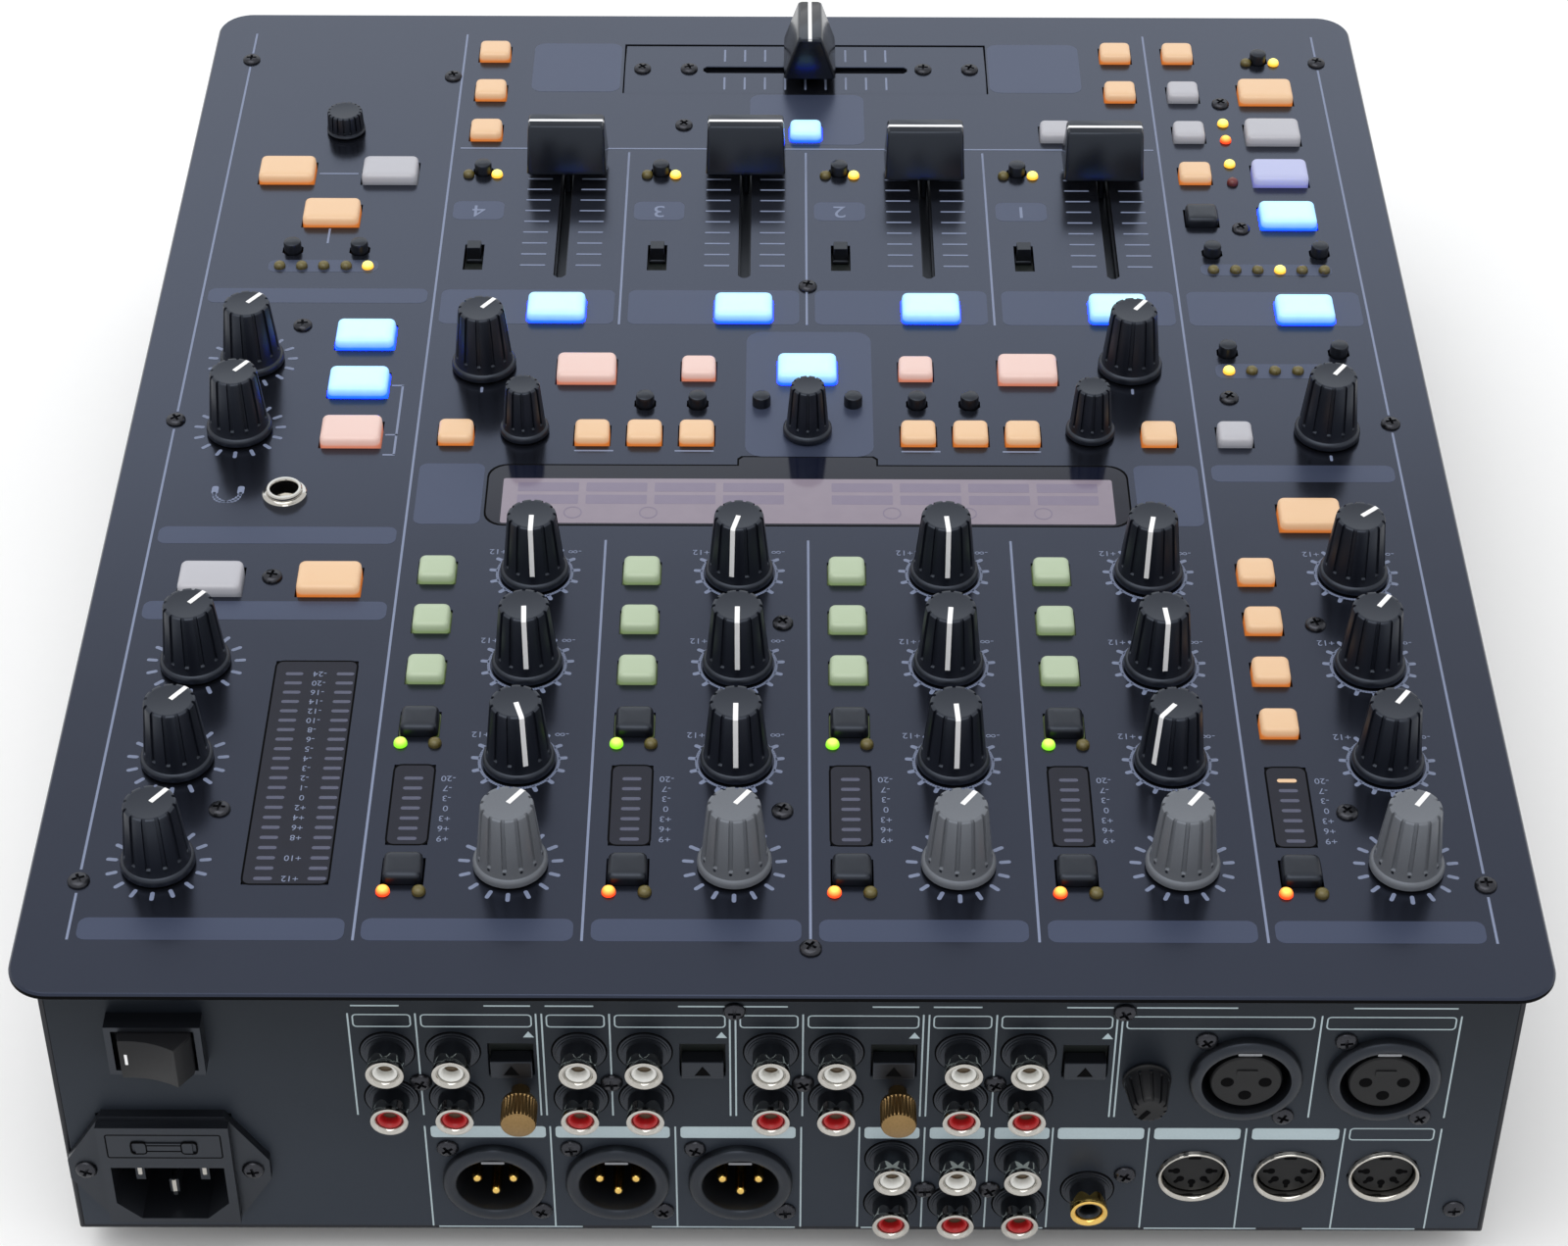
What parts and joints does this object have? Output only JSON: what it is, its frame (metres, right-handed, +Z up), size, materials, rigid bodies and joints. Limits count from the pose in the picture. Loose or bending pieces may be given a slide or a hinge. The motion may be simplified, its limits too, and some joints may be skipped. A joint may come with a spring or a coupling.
{
  "type": "dj mixer",
  "caption": "Flat desktop audio mixer with rotary tone controls, channel faders, a crossfader, lit push buttons, level meters, a display and rear sockets.",
  "frame": {"origin": "middle of the outer box seen from above, on the plane that the feet stand on", "axes": "+X to the right of someone at the crossfader, +Y towards the rear sockets, +Z up"},
  "size_m": [0.32, 0.391, 0.1067],
  "materials": {
    "panel": "satin, fine grain",
    "casing": "satin",
    "rear_plate": "satin",
    "rubber": "matt",
    "window": "gloss",
    "socket_black": "semi-gloss",
    "socket_chrome": "bright",
    "brass": "bright, knurled",
    "board": "matt",
    "steel": "plain",
    "knob_black": "soft-touch",
    "knob_grey": "soft-touch",
    "fader_cap": "gloss",
    "button_lit": "translucent, lit"
  },
  "bodies": {
    "console": {"top_panel": "panel", "chassis_tray": "casing", "rear_panel": "rear_plate", "feet": "rubber", "indicator_lenses": "window", "crossfader_plate": "panel", "phones_jack": "socket_black", "xlr_sockets": "socket_black", "rca_sockets": "socket_chrome", "din_sockets": "socket_chrome", "ground_posts": "brass", "power_entry": "socket_black", "control_board": "board", "potentiometers": "steel", "power_supply": "board"},
    "mic_gain_knob": {"mic_gain_knob": "knob_grey"},
    "mic_high_knob": {"mic_high_knob": "knob_black"},
    "mic_mid_knob": {"mic_mid_knob": "knob_black"},
    "mic_low_knob": {"mic_low_knob": "knob_black"},
    "ch1_gain_knob": {"ch1_gain_knob": "knob_grey"},
    "ch1_high_knob": {"ch1_high_knob": "knob_black"},
    "ch1_mid_knob": {"ch1_mid_knob": "knob_black"},
    "ch1_low_knob": {"ch1_low_knob": "knob_black"},
    "ch2_gain_knob": {"ch2_gain_knob": "knob_grey"},
    "ch2_high_knob": {"ch2_high_knob": "knob_black"},
    "ch2_mid_knob": {"ch2_mid_knob": "knob_black"},
    "ch2_low_knob": {"ch2_low_knob": "knob_black"},
    "ch3_gain_knob": {"ch3_gain_knob": "knob_grey"},
    "ch3_high_knob": {"ch3_high_knob": "knob_black"},
    "ch3_mid_knob": {"ch3_mid_knob": "knob_black"},
    "ch3_low_knob": {"ch3_low_knob": "knob_black"},
    "ch4_gain_knob": {"ch4_gain_knob": "knob_grey"},
    "ch4_high_knob": {"ch4_high_knob": "knob_black"},
    "ch4_mid_knob": {"ch4_mid_knob": "knob_black"},
    "ch4_low_knob": {"ch4_low_knob": "knob_black"},
    "main_level_knob": {"main_level_knob": "knob_black"},
    "main_balance_knob": {"main_balance_knob": "knob_black"},
    "main_booth_knob": {"main_booth_knob": "knob_black"},
    "phones_level_knob": {"phones_level_knob": "knob_black"},
    "phones_mix_knob": {"phones_mix_knob": "knob_black"},
    "sampler_mix_knob": {"sampler_mix_knob": "knob_black"},
    "fx1_mix_knob": {"fx1_mix_knob": "knob_black"},
    "fx1_encoder": {"fx1_encoder": "knob_black"},
    "fx2_mix_knob": {"fx2_mix_knob": "knob_black"},
    "fx2_encoder": {"fx2_encoder": "knob_black"},
    "console_encoder": {"console_encoder": "knob_black"},
    "crossfader_curve_knob": {"crossfader_curve_knob": "knob_black"},
    "mic_level_knob": {"mic_level_knob": "knob_black"},
    "ch1_fader": {"ch1_fader": "fader_cap"},
    "ch2_fader": {"ch2_fader": "fader_cap"},
    "ch3_fader": {"ch3_fader": "fader_cap"},
    "ch4_fader": {"ch4_fader": "fader_cap"},
    "crossfader": {"crossfader": "fader_cap"},
    "power_rocker": {"power_rocker": "socket_black"},
    "wide_buttons": {"wide_buttons": "button_lit"},
    "square_buttons": {"square_buttons": "button_lit"},
    "round_buttons": {"round_buttons": "knob_black"},
    "curve_switches": {"curve_switches": "knob_black"},
    "phono_switches": {"phono_switches": "knob_black"}
  },
  "joints": [
    {"name": "mic_gain_knob_turn", "type": "hinge", "parent": "console", "child": "mic_gain_knob", "pos_m": [-0.1329, 0.1495, 0.089], "axis": [0, 0, 1], "range_deg": [-288, 0]},
    {"name": "mic_high_knob_turn", "type": "hinge", "parent": "console", "child": "mic_high_knob", "pos_m": [-0.1329, 0.11725, 0.089], "axis": [0, 0, 1], "range_deg": [-288, 0]},
    {"name": "mic_mid_knob_turn", "type": "hinge", "parent": "console", "child": "mic_mid_knob", "pos_m": [-0.1329, 0.085, 0.089], "axis": [0, 0, 1], "range_deg": [-288, 0]},
    {"name": "mic_low_knob_turn", "type": "hinge", "parent": "console", "child": "mic_low_knob", "pos_m": [-0.1329, 0.05275, 0.089], "axis": [0, 0, 1], "range_deg": [-274, 14]},
    {"name": "ch1_gain_knob_turn", "type": "hinge", "parent": "console", "child": "ch1_gain_knob", "pos_m": [-0.0852, 0.1495, 0.089], "axis": [0, 0, 1], "range_deg": [-288, 0]},
    {"name": "ch1_high_knob_turn", "type": "hinge", "parent": "console", "child": "ch1_high_knob", "pos_m": [-0.0852, 0.11725, 0.089], "axis": [0, 0, 1], "range_deg": [-105, 183]},
    {"name": "ch1_mid_knob_turn", "type": "hinge", "parent": "console", "child": "ch1_mid_knob", "pos_m": [-0.0852, 0.085, 0.089], "axis": [0, 0, 1], "range_deg": [-148, 140]},
    {"name": "ch1_low_knob_turn", "type": "hinge", "parent": "console", "child": "ch1_low_knob", "pos_m": [-0.0852, 0.05275, 0.089], "axis": [0, 0, 1], "range_deg": [-133, 155]},
    {"name": "ch2_gain_knob_turn", "type": "hinge", "parent": "console", "child": "ch2_gain_knob", "pos_m": [-0.0375, 0.1495, 0.089], "axis": [0, 0, 1], "range_deg": [-288, 0]},
    {"name": "ch2_high_knob_turn", "type": "hinge", "parent": "console", "child": "ch2_high_knob", "pos_m": [-0.0375, 0.11725, 0.089], "axis": [0, 0, 1], "range_deg": [-147, 141]},
    {"name": "ch2_mid_knob_turn", "type": "hinge", "parent": "console", "child": "ch2_mid_knob", "pos_m": [-0.0375, 0.085, 0.089], "axis": [0, 0, 1], "range_deg": [-139, 149]},
    {"name": "ch2_low_knob_turn", "type": "hinge", "parent": "console", "child": "ch2_low_knob", "pos_m": [-0.0375, 0.05275, 0.089], "axis": [0, 0, 1], "range_deg": [-148, 140]},
    {"name": "ch3_gain_knob_turn", "type": "hinge", "parent": "console", "child": "ch3_gain_knob", "pos_m": [0.0102, 0.1495, 0.089], "axis": [0, 0, 1], "range_deg": [-288, 0]},
    {"name": "ch3_high_knob_turn", "type": "hinge", "parent": "console", "child": "ch3_high_knob", "pos_m": [0.0102, 0.11725, 0.089], "axis": [0, 0, 1], "range_deg": [-144, 144]},
    {"name": "ch3_mid_knob_turn", "type": "hinge", "parent": "console", "child": "ch3_mid_knob", "pos_m": [0.0102, 0.085, 0.089], "axis": [0, 0, 1], "range_deg": [-144, 144]},
    {"name": "ch3_low_knob_turn", "type": "hinge", "parent": "console", "child": "ch3_low_knob", "pos_m": [0.0102, 0.05275, 0.089], "axis": [0, 0, 1], "range_deg": [-130, 158]},
    {"name": "ch4_gain_knob_turn", "type": "hinge", "parent": "console", "child": "ch4_gain_knob", "pos_m": [0.0579, 0.1495, 0.089], "axis": [0, 0, 1], "range_deg": [-288, 0]},
    {"name": "ch4_high_knob_turn", "type": "hinge", "parent": "console", "child": "ch4_high_knob", "pos_m": [0.0579, 0.11725, 0.089], "axis": [0, 0, 1], "range_deg": [-161, 127]},
    {"name": "ch4_mid_knob_turn", "type": "hinge", "parent": "console", "child": "ch4_mid_knob", "pos_m": [0.0579, 0.085, 0.089], "axis": [0, 0, 1], "range_deg": [-147, 141]},
    {"name": "ch4_low_knob_turn", "type": "hinge", "parent": "console", "child": "ch4_low_knob", "pos_m": [0.0579, 0.05275, 0.089], "axis": [0, 0, 1], "range_deg": [-144, 144]},
    {"name": "main_level_knob_turn", "type": "hinge", "parent": "console", "child": "main_level_knob", "pos_m": [0.1329, 0.1495, 0.089], "axis": [0, 0, 1], "range_deg": [-288, 0]},
    {"name": "main_balance_knob_turn", "type": "hinge", "parent": "console", "child": "main_balance_knob", "pos_m": [0.1329, 0.11725, 0.089], "axis": [0, 0, 1], "range_deg": [-288, 0]},
    {"name": "main_booth_knob_turn", "type": "hinge", "parent": "console", "child": "main_booth_knob", "pos_m": [0.1329, 0.085, 0.089], "axis": [0, 0, 1], "range_deg": [-288, 0]},
    {"name": "phones_level_knob_turn", "type": "hinge", "parent": "console", "child": "phones_level_knob", "pos_m": [0.1329, -0.00155, 0.089], "axis": [0, 0, 1], "range_deg": [-288, 0]},
    {"name": "phones_mix_knob_turn", "type": "hinge", "parent": "console", "child": "phones_mix_knob", "pos_m": [0.1329, -0.02975, 0.089], "axis": [0, 0, 1], "range_deg": [-288, 0]},
    {"name": "sampler_mix_knob_turn", "type": "hinge", "parent": "console", "child": "sampler_mix_knob", "pos_m": [-0.1329, -0.00145, 0.089], "axis": [0, 0, 1], "range_deg": [-288, 0]},
    {"name": "fx1_mix_knob_turn", "type": "hinge", "parent": "console", "child": "fx1_mix_knob", "pos_m": [-0.0866, -0.02795, 0.089], "axis": [0, 0, 1], "range_deg": [-288, 0]},
    {"name": "fx1_encoder_turn", "type": "hinge", "parent": "console", "child": "fx1_encoder", "pos_m": [-0.075, -0.00135, 0.089], "axis": [0, 0, 1], "continuous": true},
    {"name": "fx2_mix_knob_turn", "type": "hinge", "parent": "console", "child": "fx2_mix_knob", "pos_m": [0.0748, -0.02795, 0.089], "axis": [0, 0, 1], "range_deg": [-288, 0]},
    {"name": "fx2_encoder_turn", "type": "hinge", "parent": "console", "child": "fx2_encoder", "pos_m": [0.0632, -0.00135, 0.089], "axis": [0, 0, 1], "continuous": true},
    {"name": "console_encoder_turn", "type": "hinge", "parent": "console", "child": "console_encoder", "pos_m": [-0.0059, -0.00135, 0.089], "axis": [0, 0, 1], "continuous": true},
    {"name": "crossfader_curve_knob_turn", "type": "hinge", "parent": "console", "child": "crossfader_curve_knob", "pos_m": [0.11915, -0.13485, 0.089], "axis": [0, 0, 1], "range_deg": [-140, 140]},
    {"name": "mic_level_knob_turn", "type": "hinge", "parent": "console", "child": "mic_level_knob", "pos_m": [-0.0772, 0.1825, 0.0586], "axis": [0, 1, 0], "range_deg": [-288, 0]},
    {"name": "ch1_fader_slide", "type": "slide", "parent": "console", "child": "ch1_fader", "axis": [0, 1, 0], "range_m": [-0.0036, 0.0414]},
    {"name": "ch2_fader_slide", "type": "slide", "parent": "console", "child": "ch2_fader", "axis": [0, 1, 0], "range_m": [-0.0034, 0.0416]},
    {"name": "ch3_fader_slide", "type": "slide", "parent": "console", "child": "ch3_fader", "axis": [0, 1, 0], "range_m": [-0.0012, 0.0438]},
    {"name": "ch4_fader_slide", "type": "slide", "parent": "console", "child": "ch4_fader", "axis": [0, 1, 0], "range_m": [-0.0013, 0.0437]},
    {"name": "crossfader_slide", "type": "slide", "parent": "console", "child": "crossfader", "axis": [1, 0, 0], "range_m": [-0.0213, 0.0237]},
    {"name": "power_rocker_tilt", "type": "hinge", "parent": "console", "child": "power_rocker", "pos_m": [0.1307, 0.1869, 0.0709], "axis": [0, 0, 1], "range_deg": [0, 26]},
    {"name": "wide_buttons_press", "type": "slide", "parent": "console", "child": "wide_buttons", "axis": [0, 0, -1], "range_m": [0, 0.0008], "stiffness_N_per_m": 600, "springref_m": -0.003},
    {"name": "square_buttons_press", "type": "slide", "parent": "console", "child": "square_buttons", "axis": [0, 0, -1], "range_m": [0, 0.0008], "stiffness_N_per_m": 600, "springref_m": -0.003},
    {"name": "round_buttons_press", "type": "slide", "parent": "console", "child": "round_buttons", "axis": [0, 0, -1], "range_m": [0, 0.0008], "stiffness_N_per_m": 600, "springref_m": -0.003},
    {"name": "curve_switches_slide", "type": "slide", "parent": "console", "child": "curve_switches", "axis": [0, 1, 0], "range_m": [0, 0.006]},
    {"name": "phono_switches_slide", "type": "slide", "parent": "console", "child": "phono_switches", "axis": [0, 0, 1], "range_m": [0, 0.004]}
  ]
}
